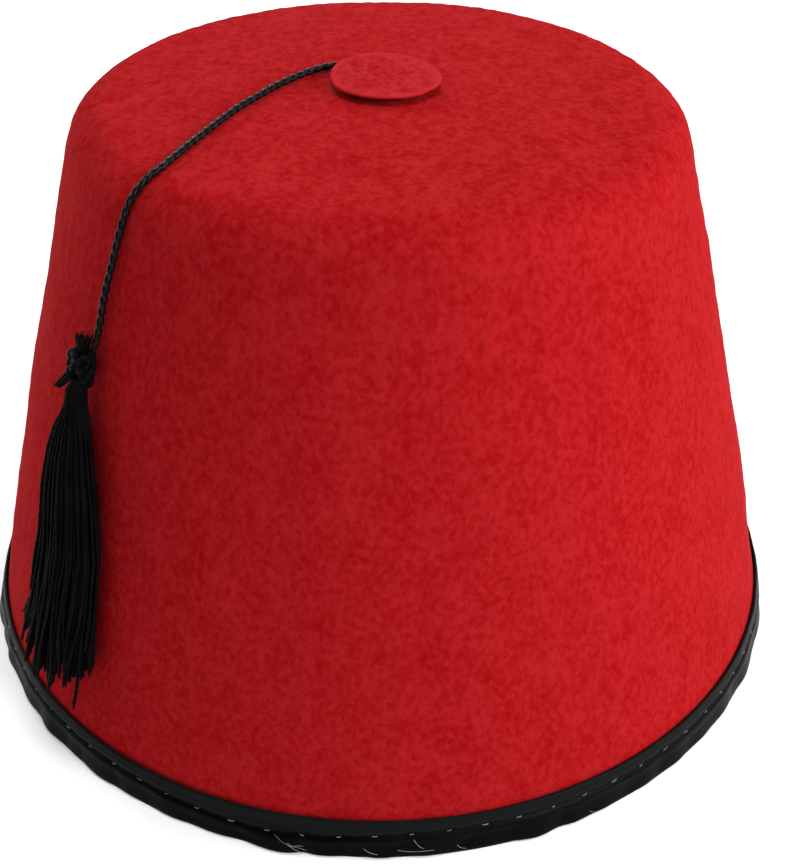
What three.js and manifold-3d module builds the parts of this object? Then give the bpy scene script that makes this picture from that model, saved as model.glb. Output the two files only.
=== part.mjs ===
// A fez: a hollow crown of thick felt with a vinyl strip folded round its rim, a small felt disc on its top,
// and a thin cord that runs from under the disc over the top's corner and down the wall to a knotted tassel.
// Millimetres, +Z up. The origin is the middle of the rim, on the surface that the hat stands on.
import * as THREE from 'three';
import { mergeVertices } from 'three/addons/utils/BufferGeometryUtils.js';
import Module from 'manifold-3d';

const wasm = await Module();
wasm.setup();

// Felt crown
const FELT_RIM_RADIUS = 94.1;        // outer face of the felt, its line carried down to the table
const FELT_TOP_RADIUS = 62.3;        // where the wall's line meets the top's line
const CORNER_HEIGHT = 123.9;         // height of that meeting point
const CORNER_FILLET = 9.7;           // outer radius of the rounded corner
const FELT_THICKNESS = 2.5;
const WALL_BULGE = 0.8;              // how far the wall bows out halfway up
const TOP_DOME = 1.4;                // how far the top's middle stands above its edge

// Rim binding
const BINDING_THICKNESS = 0.6;
const BINDING_OUTER_HEIGHT = 8.8;
const BINDING_INNER_HEIGHT = 8.0;
const STITCH_LINE_HEIGHT = 5.3;      // the crease that the stitches pull into the outer face
const STITCH_CREASE_DEPTH = 0.2;
const STITCH_CREASE_WIDTH = 1.4;

// Felt disc on the top
const DISC_RADIUS = 11.4;
const DISC_THICKNESS = 1.8;
const DISC_CENTRE = new THREE.Vector2(1.3, -0.2);
const DISC_EDGE_ROUNDING = 0.4;
const DISC_STIFF_WIDTH = 11.0;       // how far from the cord the disc is still held up by it

// Cord, from its end under the disc to the knot
const CORD_DIAMETER = 1.5;
const CORD_SIDES = 8;
const CORD_STEP_IN_DIAMETERS = 2;
const HIDDEN_POINTS = 3;             // how many points of the route lie under the disc or at its edge
const CORD_ROUTE = [
  [-1.6, 6.6, 126.49], [-5.8, 8.0, 126.47], [-9.9, 8.2, 126.44], [-12.9, 6.5, 126.43],
  [-15.6, 4.0, 126.4], [-19.9, -1.1, 126.34], [-24.2, -7.9, 126.24],
  [-28.4, -15.0, 126.09], [-32.2, -23.3, 125.86], [-35.8, -31.3, 125.58], [-38.7, -38.3, 125.28],
  [-41.4, -42.2, 124.3], [-43.2, -44.0, 122.75], [-44.5, -44.9, 121.0], [-45.6, -45.6, 118.7],
  [-46.6, -46.1, 116.0], [-48.0, -46.5, 111.7], [-49.4, -46.8, 107.4], [-50.6, -46.9, 103.8],
  [-51.6, -47.3, 100.1], [-52.5, -47.7, 96.5], [-53.2, -48.1, 94.0], [-53.8, -48.6, 92.2],
].map(([x, y, z]) => new THREE.Vector3(x, y, z));

// Knot, with the tuft above it and the tail at its side
const KNOT_WIDTH = 7.7;              // along the wall
const KNOT_DEPTH = 5.0;              // out from the wall
const KNOT_TALL = 6.6;
const KNOT_DROP = 0.7;               // from the cord's end down to the knot's top
const KNOT_ASIDE = 1.8;              // from the cord's end along the wall to the knot's middle
const KNOT_TURN_TILT = THREE.MathUtils.degToRad(28);
const TUFT_LENGTH = 4.2;             // how far it stands above the knot
const TUFT_TOP_DIAMETER = 2.9;
const TUFT_BOTTOM_DIAMETER = 1.9;
const TAIL_LENGTH = 3.2;             // how far it stands out of the knot's side
const TAIL_DIAMETER = 1.5;
const TAIL_TIP_DIAMETER = 1.0;
const TAIL_DIRECTION = new THREE.Vector3(-0.6, -0.45, -0.66).normalize();

// Tassel: a neck, then a skirt of locks round a core
const TASSEL_LENGTH = 71.0;          // height from the neck's top to the lowest tip
const TASSEL_WIDTH = 26.0;           // along the wall, at its widest
const TASSEL_DEPTH = 7.2;            // out from the wall, at its thickest
const LOCK_COUNT = 13;
const LOCK_SIDES = 6;
const CORE_SIDES = 12;
// Sections from the neck down: `down` is a share of the length, `across` (sideways drift) and `width` of the
// width, and `depth` of the depth
const TASSEL_SECTIONS = [
  { down: 0.00, across: 0.04, width: 0.165, depth: 0.62 },
  { down: 0.04, across: 0.05, width: 0.165, depth: 0.62 },
  { down: 0.08, across: 0.06, width: 0.29, depth: 0.68 },
  { down: 0.13, across: 0.05, width: 0.455, depth: 0.78 },
  { down: 0.20, across: 0.05, width: 0.585, depth: 0.88 },
  { down: 0.30, across: 0.08, width: 0.72, depth: 0.96 },
  { down: 0.46, across: 0.14, width: 0.805, depth: 1.00 },
  { down: 0.68, across: 0.12, width: 0.875, depth: 1.00 },
  { down: 0.88, across: 0.095, width: 1.00, depth: 0.96 },
  { down: 1.00, across: 0.085, width: 1.00, depth: 0.90 },
];
const LOCK_RAGGEDNESS = 0.06;        // shares of the tassel's length: how unevenly the locks end,
const SIDE_SHORTENING = 0.13;        // how much higher they end at the tassel's right-hand side,
const LOCK_TIP_LENGTH = 0.12;        // and how long their thinning ends are
const LOCK_THICKNESS = 0.46;         // share of the section's depth
const LOCK_TIP = 0.45;               // how much of its thickness a lock keeps at its end
const CORE_LENGTH = 0.82;
const CORE_FILL = 0.74;              // share of the section that the core fills below the neck
const NECK_END = 0.05;               // shares of the length: the neck's waist, and where the locks part
const SKIRT_START = 0.15;

const CLEARANCE = 0.3;               // between pieces that touch on the real hat

// How finely round faces are divided
const ROUND_SEGMENTS = 72;
const DISC_SEGMENTS = 36;
const DISC_RINGS = 5;
const WALL_ROWS = 5;
const FILLET_ROWS = 6;
const TOP_ROWS = 4;

const RED_FELT = new THREE.MeshStandardMaterial({ color: 0xb5161c, roughness: 0.95, metalness: 0 });
const RED_DISC = new THREE.MeshStandardMaterial({ color: 0xbc1e24, roughness: 0.95, metalness: 0 });
const BLACK_VINYL = new THREE.MeshStandardMaterial({ color: 0x17171a, roughness: 0.45, metalness: 0 });
const BLACK_CORD = new THREE.MeshStandardMaterial({ color: 0x101012, roughness: 0.6, metalness: 0 });
const BLACK_THREAD = new THREE.MeshStandardMaterial({ color: 0x0b0b0d, roughness: 0.7, metalness: 0 });

// The corner: both lines' directions, the fillet's ends on them, and its centre

const domeSlope = 2 * TOP_DOME / FELT_TOP_RADIUS;
const corner = new THREE.Vector2(FELT_TOP_RADIUS, CORNER_HEIGHT);
const wallDirection = new THREE.Vector2(FELT_TOP_RADIUS - FELT_RIM_RADIUS, CORNER_HEIGHT).normalize();
const wallNormal = new THREE.Vector2(wallDirection.y, -wallDirection.x);
const topDirection = new THREE.Vector2(-1, domeSlope).normalize();
const cornerTurn = Math.acos(wallDirection.dot(topDirection));
const filletReach = CORNER_FILLET * Math.tan(cornerTurn / 2);
const filletStart = corner.clone().addScaledVector(wallDirection, -filletReach);
const filletEnd = corner.clone().addScaledVector(topDirection, filletReach);
const filletCentre = filletStart.clone().addScaledVector(wallNormal, -CORNER_FILLET);
const wallLean = Math.asin(wallNormal.y);
const topHeight = filletEnd.y + domeSlope * filletEnd.x / 2;

// Radius of the wall's outer face at a height, moved `offset` outwards, square to the wall
function wallRadius(height, offset) {
  const share = height / filletStart.y;
  const straight = THREE.MathUtils.lerp(FELT_RIM_RADIUS, filletStart.x, share);
  return straight + WALL_BULGE * 4 * share * (1 - share) + offset / Math.cos(wallLean);
}

// Height of the top's outer face at a distance from the axis, inside the fillet
function topSurface(radius) {
  const share = radius / filletEnd.x;
  return topHeight - (topHeight - filletEnd.y) * share * share;
}

// Outline of the crown's outer face moved `offset` outwards, from `bottom` up to the axis
function crownOutline(offset, bottom) {
  const points = [];
  const wallTop = filletCentre.y + (CORNER_FILLET + offset) * wallNormal.y;
  for (let i = 0; i < WALL_ROWS; i++) {
    const height = THREE.MathUtils.lerp(bottom, wallTop, i / WALL_ROWS);
    points.push(new THREE.Vector2(wallRadius(height, offset), height));
  }
  for (let i = 0; i <= FILLET_ROWS; i++) {
    const angle = wallLean + cornerTurn * i / FILLET_ROWS;
    const arm = new THREE.Vector2(Math.cos(angle), Math.sin(angle));
    points.push(filletCentre.clone().addScaledVector(arm, CORNER_FILLET + offset));
  }
  for (let i = 1; i <= TOP_ROWS; i++) {
    const radius = filletEnd.x * (1 - i / TOP_ROWS);
    points.push(new THREE.Vector2(radius, topSurface(radius) + offset));
  }
  return points;
}

// A lathe about +Z
function turned(profile, segments) {
  return new THREE.LatheGeometry(profile, segments).rotateX(Math.PI / 2);
}

// Moves every vertex of a geometry
function reshaped(geometry, move) {
  const position = geometry.attributes.position;
  const point = new THREE.Vector3();
  for (let i = 0; i < position.count; i++) {
    move(point.fromBufferAttribute(position, i));
    position.setXYZ(i, point.x, point.y, point.z);
  }
  return geometry;
}

// A closed geometry as a solid that can be joined
function solidOf(geometry) {
  const bare = geometry.clone();
  bare.deleteAttribute('normal');
  bare.deleteAttribute('uv');
  const merged = mergeVertices(bare, 1e-4);
  return new wasm.Manifold(new wasm.Mesh({
    numProp: 3,
    vertProperties: new Float32Array(merged.attributes.position.array),
    triVerts: new Uint32Array(merged.index.array),
  }));
}

// Closed geometries joined into one
function joined(geometries) {
  const mesh = geometries.map(solidOf).reduce((sum, next) => sum.add(next)).getMesh();
  const geometry = new THREE.BufferGeometry();
  geometry.setAttribute('position', new THREE.BufferAttribute(new Float32Array(mesh.vertProperties), 3));
  geometry.setIndex(new THREE.BufferAttribute(new Uint32Array(mesh.triVerts), 1));
  geometry.computeVertexNormals();
  return geometry;
}

function named(name, geometry, material) {
  const mesh = new THREE.Mesh(geometry, material);
  mesh.name = name;
  return mesh;
}

// Crown: outer face from the table side up to the axis, and the inner face back down

const feltEdgeHeight = BINDING_THICKNESS + CLEARANCE;

function feltCrown() {
  const outer = crownOutline(0, feltEdgeHeight);
  const inner = crownOutline(-FELT_THICKNESS, feltEdgeHeight);
  const profile = [...inner.reverse(), ...outer];
  return named('felt_crown', turned(profile, ROUND_SEGMENTS), RED_FELT);
}

// Binding: up the outside, over its top edge, down under the felt's edge, and up and over inside

const bindingInside = CLEARANCE;
const bindingOutside = CLEARANCE + BINDING_THICKNESS;

function rimBinding() {
  const wallPoint = (height, offset) => new THREE.Vector2(wallRadius(height, offset), height);
  const innerLegFace = -FELT_THICKNESS - bindingInside;
  const innerLegBack = -FELT_THICKNESS - bindingOutside;
  const halfCrease = STITCH_CREASE_WIDTH / 2;
  const foldRounding = BINDING_THICKNESS;
  const foldInset = foldRounding / Math.cos(wallLean);
  const profile = [
    wallPoint(0, bindingOutside).sub(new THREE.Vector2(foldInset, 0)),
    wallPoint(foldRounding / 3, bindingOutside).sub(new THREE.Vector2(foldInset / 3, 0)),
    wallPoint(foldRounding, bindingOutside),
    wallPoint(STITCH_LINE_HEIGHT - halfCrease, bindingOutside),
    wallPoint(STITCH_LINE_HEIGHT, bindingOutside - STITCH_CREASE_DEPTH),
    wallPoint(STITCH_LINE_HEIGHT + halfCrease, bindingOutside),
    wallPoint(BINDING_OUTER_HEIGHT - BINDING_THICKNESS / 3, bindingOutside),
    wallPoint(BINDING_OUTER_HEIGHT, bindingOutside - BINDING_THICKNESS / 3),
    wallPoint(BINDING_OUTER_HEIGHT, bindingInside),
    wallPoint(BINDING_THICKNESS, bindingInside),
    wallPoint(BINDING_THICKNESS, innerLegFace),
    wallPoint(BINDING_INNER_HEIGHT, innerLegFace),
    wallPoint(BINDING_INNER_HEIGHT, innerLegBack),
    wallPoint(foldRounding, innerLegBack),
    wallPoint(0, innerLegBack).add(new THREE.Vector2(foldInset, 0)),
  ];
  profile.push(profile[0].clone());
  return named('rim_binding', turned(profile, ROUND_SEGMENTS), BLACK_VINYL);
}

// Disc: it follows the top's dome and is held up where the cord runs under it

const cordHold = CORD_DIAMETER + CLEARANCE;
const hiddenCord = CORD_ROUTE.slice(0, HIDDEN_POINTS);

function distanceToHiddenCord(point) {
  const distances = hiddenCord.slice(1).map((end, i) => {
    const start = hiddenCord[i];
    const line = new THREE.Line3(start.clone().setZ(0), end.clone().setZ(0));
    return line.closestPointToPoint(point, true, new THREE.Vector3()).distanceTo(point);
  });
  return Math.min(...distances);
}

function discLift(x, y) {
  const reach = distanceToHiddenCord(new THREE.Vector3(x, y, 0));
  const share = 1 - THREE.MathUtils.smoothstep(reach, CORD_DIAMETER, DISC_STIFF_WIDTH);
  return cordHold * share;
}

function topDisc() {
  const flatRadius = DISC_RADIUS - DISC_EDGE_ROUNDING;
  const rings = Array.from({ length: DISC_RINGS + 1 }, (_, i) => flatRadius * i / DISC_RINGS);
  const under = rings.map((radius) => new THREE.Vector2(radius, 0));
  const over = rings.map((radius) => new THREE.Vector2(radius, DISC_THICKNESS)).reverse();
  const edge = [
    new THREE.Vector2(DISC_RADIUS, DISC_EDGE_ROUNDING),
    new THREE.Vector2(DISC_RADIUS, DISC_THICKNESS - DISC_EDGE_ROUNDING),
  ];
  const disc = turned([...under, ...edge, ...over], DISC_SEGMENTS);
  reshaped(disc, (point) => {
    const x = point.x + DISC_CENTRE.x;
    const y = point.y + DISC_CENTRE.y;
    point.z += topSurface(Math.hypot(x, y)) + CLEARANCE + discLift(x, y);
  });
  const mesh = named('top_disc', disc, RED_DISC);
  mesh.position.set(DISC_CENTRE.x, DISC_CENTRE.y, 0);
  return mesh;
}

// Cord: a tube along its route

const cordCurve = new THREE.CatmullRomCurve3(CORD_ROUTE);
const cordEnd = CORD_ROUTE.at(-1);

function cordTube(curve) {
  const section = new THREE.Shape();
  for (let i = 0; i < CORD_SIDES; i++) {
    const angle = 2 * Math.PI * i / CORD_SIDES;
    const x = CORD_DIAMETER / 2 * Math.cos(angle);
    const y = CORD_DIAMETER / 2 * Math.sin(angle);
    if (i === 0) section.moveTo(x, y);
    else section.lineTo(x, y);
  }
  const steps = Math.ceil(curve.getLength() / (CORD_STEP_IN_DIAMETERS * CORD_DIAMETER));
  return new THREE.ExtrudeGeometry(section, { steps, bevelEnabled: false, extrudePath: curve });
}

function tasselCord() {
  return named('tassel_cord', cordTube(cordCurve), BLACK_CORD);
}

// The knot and the tassel hang from the cord's end, so their bearing round the hat follows it

const knotHeight = cordEnd.z - KNOT_DROP - KNOT_TALL / 2;
const tasselBearing = Math.atan2(cordEnd.y, cordEnd.x) - KNOT_ASIDE / wallRadius(knotHeight, 0);

// A point beside the wall: `across` along it from the tassel's bearing, `out` from the felt's outer face
function besideWall(across, out, height) {
  const radius = wallRadius(height, out);
  const bearing = tasselBearing + across / radius;
  return new THREE.Vector3(radius * Math.cos(bearing), radius * Math.sin(bearing), height);
}

// A round rod from the origin in a direction
function rod(direction, length, startDiameter, endDiameter) {
  const cylinder = new THREE.CylinderGeometry(endDiameter / 2, startDiameter / 2, length, CORD_SIDES);
  const turn = new THREE.Quaternion().setFromUnitVectors(new THREE.Vector3(0, 1, 0), direction);
  return cylinder.translate(0, length / 2, 0).applyQuaternion(turn);
}

// Knot, in its own frame: x along the wall, y into it, z up it
function cordKnot() {
  const knot = new THREE.Group();
  knot.position.copy(besideWall(0, KNOT_DEPTH / 2 + CLEARANCE, knotHeight));
  knot.rotation.set(-wallLean, 0, tasselBearing + Math.PI / 2, 'ZXY');
  knot.updateMatrixWorld(true);

  const turnThickness = KNOT_TALL / 3;
  const core = new THREE.SphereGeometry(0.5, 12, 8);
  core.scale(KNOT_WIDTH - turnThickness, KNOT_DEPTH - turnThickness / 2, KNOT_TALL);
  const turnRadius = (KNOT_WIDTH - turnThickness) / 2;
  const turnFlatness = (KNOT_DEPTH - turnThickness) / (2 * turnRadius);
  const turns = [KNOT_TURN_TILT, -KNOT_TURN_TILT].map((tilt) => {
    const turn = new THREE.TorusGeometry(turnRadius, turnThickness / 2, 6, 14);
    return turn.scale(1, turnFlatness, 1).rotateY(tilt);
  });
  const up = new THREE.Vector3(0, 0, 1);
  const tuft = rod(up, KNOT_TALL / 2 + TUFT_LENGTH, TUFT_BOTTOM_DIAMETER, TUFT_TOP_DIAMETER);
  const tail = rod(TAIL_DIRECTION, KNOT_WIDTH / 2 + TAIL_LENGTH, TAIL_DIAMETER, TAIL_TIP_DIAMETER);

  // The cord's last stretch is part of the knot: it goes on from the tube's end and bends to the knot's middle
  const heading = cordCurve.getTangent(1);
  const start = cordEnd.clone().addScaledVector(heading, CLEARANCE);
  const bend = start.clone().addScaledVector(heading, KNOT_TALL / 3);
  const entryCurve = new THREE.QuadraticBezierCurve3(
    knot.worldToLocal(start), knot.worldToLocal(bend), new THREE.Vector3());
  knot.add(named('cord_knot', joined([core, ...turns, tuft, tail, cordTube(entryCurve)]), BLACK_CORD));
  return knot;
}

// Tassel: a core and locks round it, each a bent cylinder whose length runs down the sections

const tasselTop = knotHeight - KNOT_TALL / 2 - CLEARANCE;

function sectionAt(down) {
  const next = Math.max(1, TASSEL_SECTIONS.findIndex((section) => section.down >= down));
  const [a, b] = [TASSEL_SECTIONS[next - 1], TASSEL_SECTIONS[next]];
  const share = (down - a.down) / (b.down - a.down);
  const mix = (key) => THREE.MathUtils.lerp(a[key], b[key], share);
  return {
    across: mix('across') * TASSEL_WIDTH,
    halfWidth: mix('width') * TASSEL_WIDTH / 2,
    halfDepth: mix('depth') * TASSEL_DEPTH / 2,
  };
}

// A point at the offsets `side` and `depth` from the tassel's axis, as far down as the share says
function inTassel(side, depth, down) {
  const section = sectionAt(down);
  const out = CLEARANCE + TASSEL_DEPTH / 2 + depth;
  return besideWall(section.across + side, out, tasselTop - down * TASSEL_LENGTH);
}

function tasselCore() {
  const rows = TASSEL_SECTIONS.length - 1;
  const core = new THREE.CylinderGeometry(1, 1, 1, CORE_SIDES, rows);
  return reshaped(core, (point) => {
    const down = (0.5 - point.y) * CORE_LENGTH;
    const section = sectionAt(down);
    const fill = THREE.MathUtils.lerp(1, CORE_FILL, THREE.MathUtils.smoothstep(down, NECK_END, SKIRT_START));
    point.copy(inTassel(point.x * section.halfWidth * fill, point.z * section.halfDepth * fill, down));
  });
}

function tasselLock(index) {
  const bearing = 2 * Math.PI * index / LOCK_COUNT;
  const unevenness = (index * 4 % LOCK_COUNT) / (LOCK_COUNT - 1);
  const length = 1 - LOCK_RAGGEDNESS * unevenness - SIDE_SHORTENING * Math.max(0, Math.cos(bearing));
  const lock = new THREE.CylinderGeometry(1, 1, 1, LOCK_SIDES, TASSEL_SECTIONS.length - 1);
  return reshaped(lock, (point) => {
    const down = (0.5 - point.y) * length;
    const section = sectionAt(down);
    const taper = THREE.MathUtils.lerp(LOCK_TIP, 1, Math.min(1, (length - down) / LOCK_TIP_LENGTH));
    const halfThick = section.halfDepth * LOCK_THICKNESS * taper;
    const halfBroad = Math.max(halfThick, section.halfWidth * LOCK_THICKNESS / 2 * taper);
    const side = (section.halfWidth - halfBroad) * Math.cos(bearing);
    const depth = (section.halfDepth - halfThick) * Math.sin(bearing);
    point.copy(inTassel(side + point.x * halfBroad, depth + point.z * halfThick, down));
  });
}

function tassel() {
  const locks = Array.from({ length: LOCK_COUNT }, (_, index) => tasselLock(index));
  return named('tassel', joined([tasselCore(), ...locks]), BLACK_THREAD);
}

const fez = new THREE.Group();
fez.add(feltCrown(), rimBinding(), topDisc(), tasselCord(), cordKnot(), tassel());

export default fez;
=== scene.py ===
"""Looks of a red felt fez with a black tassel, built round its packed CAD part.

Lengths are in metres, +Z is up, and the origin is the middle of the rim, on the floor. Each piece is a
surface worked out with numpy, with a procedural finish.
"""

import math

import bpy
import numpy as np
from bpy.props import FloatProperty, FloatVectorProperty, IntProperty, PointerProperty
from mathutils import Matrix, Vector


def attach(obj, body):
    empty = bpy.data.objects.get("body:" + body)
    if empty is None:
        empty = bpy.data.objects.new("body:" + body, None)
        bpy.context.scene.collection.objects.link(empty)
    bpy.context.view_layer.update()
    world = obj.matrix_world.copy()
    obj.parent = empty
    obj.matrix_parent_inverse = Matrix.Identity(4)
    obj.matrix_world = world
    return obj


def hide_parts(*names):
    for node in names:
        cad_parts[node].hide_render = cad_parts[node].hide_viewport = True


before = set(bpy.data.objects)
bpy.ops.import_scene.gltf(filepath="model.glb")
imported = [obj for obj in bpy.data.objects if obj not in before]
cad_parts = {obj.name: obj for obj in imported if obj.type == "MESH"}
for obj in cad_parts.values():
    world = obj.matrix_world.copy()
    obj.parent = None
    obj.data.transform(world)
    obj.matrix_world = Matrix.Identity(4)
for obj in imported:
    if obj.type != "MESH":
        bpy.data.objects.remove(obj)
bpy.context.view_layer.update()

bl_info = {
    "name": "Felt fez with a tassel",
    "version": (1, 0, 0),
    "blender": (4, 5, 0),
    "location": "3D View > Sidebar > Fez",
    "description": "Builds a felt fez, its bound rim, cord, knot and tassel, and the stage it stands on",
    "category": "Add Mesh",
}

MM = 0.001
BODY = "root"
GOLDEN_ANGLE = 2.39996
TOUCHING = 0.3 * MM  # gap between pieces that touch on the real hat

# The cord's route, as in the CAD source: under the disc, over the top's corner and down the wall to the knot
CORD_ROUTE = MM * np.array([
    (-1.6, 6.6, 126.49), (-5.8, 8.0, 126.47), (-9.9, 8.2, 126.44), (-12.9, 6.5, 126.43),
    (-15.6, 4.0, 126.4), (-19.9, -1.1, 126.34), (-24.2, -7.9, 126.24),
    (-28.4, -15.0, 126.09), (-32.2, -23.3, 125.86), (-35.8, -31.3, 125.58), (-38.7, -38.3, 125.28),
    (-41.4, -42.2, 124.3), (-43.2, -44.0, 122.75), (-44.5, -44.9, 121.0), (-45.6, -45.6, 118.7),
    (-46.6, -46.1, 116.0), (-48.0, -46.5, 111.7), (-49.4, -46.8, 107.4), (-50.6, -46.9, 103.8),
    (-51.6, -47.3, 100.1), (-52.5, -47.7, 96.5), (-53.2, -48.1, 94.0), (-53.8, -48.6, 92.2),
])
CORD_LEAVES_DISC = 2

# The tassel's sections, as in the CAD source: share of its length from the neck down, then sideways drift
# and width as shares of its width, and depth as a share of its depth
TASSEL_DOWN = (0.00, 0.04, 0.08, 0.13, 0.20, 0.30, 0.46, 0.68, 0.88, 1.00)
TASSEL_ACROSS = (0.04, 0.05, 0.06, 0.05, 0.05, 0.08, 0.14, 0.12, 0.095, 0.085)
TASSEL_WIDTHS = (0.165, 0.165, 0.29, 0.455, 0.585, 0.72, 0.805, 0.875, 1.00, 1.00)
TASSEL_DEPTHS = (0.62, 0.62, 0.68, 0.78, 0.88, 0.96, 1.00, 1.00, 0.96, 0.90)
# Where the strands end: share of the length, from the skirt's left edge (-1) to its right edge (1)
TIP_SIDES = (-1.0, -0.7, -0.35, 0.0, 0.4, 0.7, 0.9, 1.0)
TIP_DOWNS = (0.905, 0.915, 0.955, 0.955, 0.915, 0.895, 0.88, 0.86)


def metres(name, description, default):
    """A length that the sidebar shows in the scene's unit."""
    return FloatProperty(name=name, description=description, default=default, precision=5, unit="LENGTH")


def turn(name, description, degrees):
    """An angle, given here in degrees."""
    return FloatProperty(name=name, description=description, default=math.radians(degrees), unit="ROTATION")


def tint(name, description, default):
    """A colour, in linear light."""
    return FloatVectorProperty(
        name=name, description=description, default=default, size=3, min=0.0, max=1.0, subtype="COLOR"
    )


class FeltSettings(bpy.types.PropertyGroup):
    """Sizes and colours of the crown."""

    rim_radius: metres("Rim radius", "Outer face of the felt, its line carried down to the floor", 0.0941)
    top_radius: metres("Top radius", "Where the wall's line meets the top's line", 0.0623)
    corner_height: metres("Corner height", "Height of that meeting point", 0.1239)
    corner_fillet: metres("Corner rounding", "Outer radius of the rounded corner", 0.0097)
    thickness: metres("Thickness", "Thickness of the felt", 0.0025)
    wall_bulge: metres("Wall bulge", "How far the wall bows out halfway up", 0.0008)
    top_dome: metres("Top dome", "How far the top's middle stands above its edge", 0.0014)
    edge_height: metres("Edge height", "Height of the felt's lower edge, inside the binding", 0.0009)
    mottle: metres("Mottle", "Height of the felt's small unevenness", 0.00005)
    hand_waves: metres("Hand waves", "Height of the slow waves that blocking by hand leaves", 0.00012)
    deep: tint("Deep red", "The felt's darker flecks", (0.274, 0.0026, 0.0036))
    red: tint("Red", "The felt's main colour", (0.318, 0.0074, 0.0092))
    bright: tint("Bright red", "The felt's lighter fibres", (0.357, 0.0116, 0.0138))


class BindingSettings(bpy.types.PropertyGroup):
    """Sizes and colours of the rim's binding and its stitches."""

    thickness: metres("Thickness", "Thickness of the folded strip", 0.0006)
    outer_height: metres("Outer height", "How high the strip reaches outside", 0.0088)
    inner_height: metres("Inner height", "How high the strip reaches inside", 0.0080)
    clearance: metres("Clearance", "Gap between the strip and the felt", 0.0003)
    crease_depth: metres("Crease depth", "How deep the stitches pull the strip in", 0.00042)
    crease_height: metres("Crease height", "Height of the stitch line", 0.0059)
    crease_width: metres("Crease width", "Half the width of the crease", 0.00045)
    stitches: IntProperty(name="Stitches", description="Stitches round the rim", default=79, min=12, max=400)
    first_stitch: turn("First stitch", "Bearing of one stitch", -85.57)
    stitch_length: metres("Stitch length", "Length of thread that shows at each stitch", 0.0012)
    thread: metres("Thread", "Diameter of the stitch thread", 0.00026)
    # Painted shade: the strip is coloured blacker below the stitches, round its fold, than above them
    black: tint("Black", "Colour of the strip's fold", (0.0008, 0.0008, 0.0009))
    upper_black: tint("Worn black", "Colour of the strip above the stitches", (0.0058, 0.0066, 0.0066))
    nylon: tint("Nylon", "Colour of the stitch thread", (0.25, 0.24, 0.26))


class DiscSettings(bpy.types.PropertyGroup):
    """Sizes and colours of the small disc on the top."""

    radius: metres("Radius", "Radius of the disc", 0.0114)
    thickness: metres("Thickness", "Thickness of the disc in its middle", 0.00185)
    centre_x: metres("Centre X", "Sideways place of its middle", 0.0013)
    centre_y: metres("Centre Y", "Place of its middle from front to back", -0.0002)
    gap: metres("Gap", "Gap between the disc and the crown", 0.0003)
    lift: metres("Lift", "How far its lower face rises over the cord", 0.0016)
    swell: metres("Swell", "How far its upper face rises over the cord", 0.0009)
    stiff_width: metres("Stiff width", "How far from the cord the disc is still held up", 0.014)
    undercut: metres("Undercut", "How far its lower face slopes up to the edge", 0.0034)
    rounding: metres("Rounding", "Rounding of its cut edge", 0.00034)


class CordSettings(bpy.types.PropertyGroup):
    """Sizes and colours of the cord and its knot."""

    diameter: metres("Diameter", "Outer diameter of the twisted cord", 0.0015)
    lay: metres("Lay", "Length of one full turn of its two plies", 0.0046)
    knot_width: metres("Knot width", "Width of the knot along the wall", 0.0077)
    knot_depth: metres("Knot depth", "How far the knot reaches out from the wall", 0.0050)
    knot_tall: metres("Knot height", "Height of the knot", 0.0066)
    knot_drop: metres("Knot drop", "From the end of the cord's open run down to the knot's top", 0.0007)
    knot_aside: metres("Knot aside", "From the cord's end along the wall to the knot's middle", 0.0018)
    tuft: metres("Tuft", "How far the frayed end stands above the knot", 0.0034)
    tail: metres("Tail", "How far the frayed tail stands out of the knot's side", 0.0034)
    black: tint("Black", "Colour of the cord", (0.0016, 0.0016, 0.0018))


class TasselSettings(bpy.types.PropertyGroup):
    """Sizes and colours of the tassel."""

    length: metres("Length", "From the neck's top to the lowest tip", 0.071)
    width: metres("Width", "Width along the wall, at the widest", 0.026)
    depth: metres("Depth", "How far it reaches out from the wall, at the thickest", 0.0072)
    strands: IntProperty(name="Strands", description="Strands of yarn", default=180, min=8, max=400)
    yarn: metres("Yarn", "Diameter of one strand", 0.00074)
    yarn_lay: metres("Yarn lay", "Length of one full turn of a strand's two plies", 0.0046)
    seed: IntProperty(name="Seed", description="Start of the random draws", default=7, min=0)
    black: tint("Black", "Colour of the yarn", (0.0026, 0.0021, 0.0023))


class StageSettings(bpy.types.PropertyGroup):
    """The floor, the lights and the camera."""

    floor: tint("Floor", "Colour of the floor", (0.93, 0.93, 0.93))
    eye: FloatVectorProperty(name="Eye", description="Place of the camera", size=3, unit="LENGTH",
                             default=(0.004455, -0.275955, 0.233546))
    tilt: turn("Tilt", "How far below level the camera looks", 35.298)
    roll: turn("Roll", "How far the camera leans to one side", 0.2636)
    lens: FloatProperty(name="Lens", description="Focal length", default=58.385, unit="CAMERA")


# Shapes

def unit(vectors):
    """Each vector divided by its length."""
    return vectors / np.linalg.norm(vectors, axis=-1, keepdims=True)


def all_round(count):
    """Angles all the way round, in even steps."""
    return 2 * np.pi * np.arange(count) / count


def circle(angle, radius=1.0):
    """Points on a circle: the cosine and the sine of each angle, times the radius."""
    return np.stack([radius * np.cos(angle), radius * np.sin(angle)], axis=-1)


def about_axis(radius, angle, height):
    """Points at a distance from the hat's axis, at an angle round it and at a height."""
    return np.stack([radius * np.cos(angle), radius * np.sin(angle), height + 0 * angle], axis=-1)


def eased(value, low, high):
    """0 below low, 1 above high, and the cubic 3t² − 2t³ between them."""
    t = np.clip((value - low) / (high - low), 0, 1)
    return t * t * (3 - 2 * t)


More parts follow.
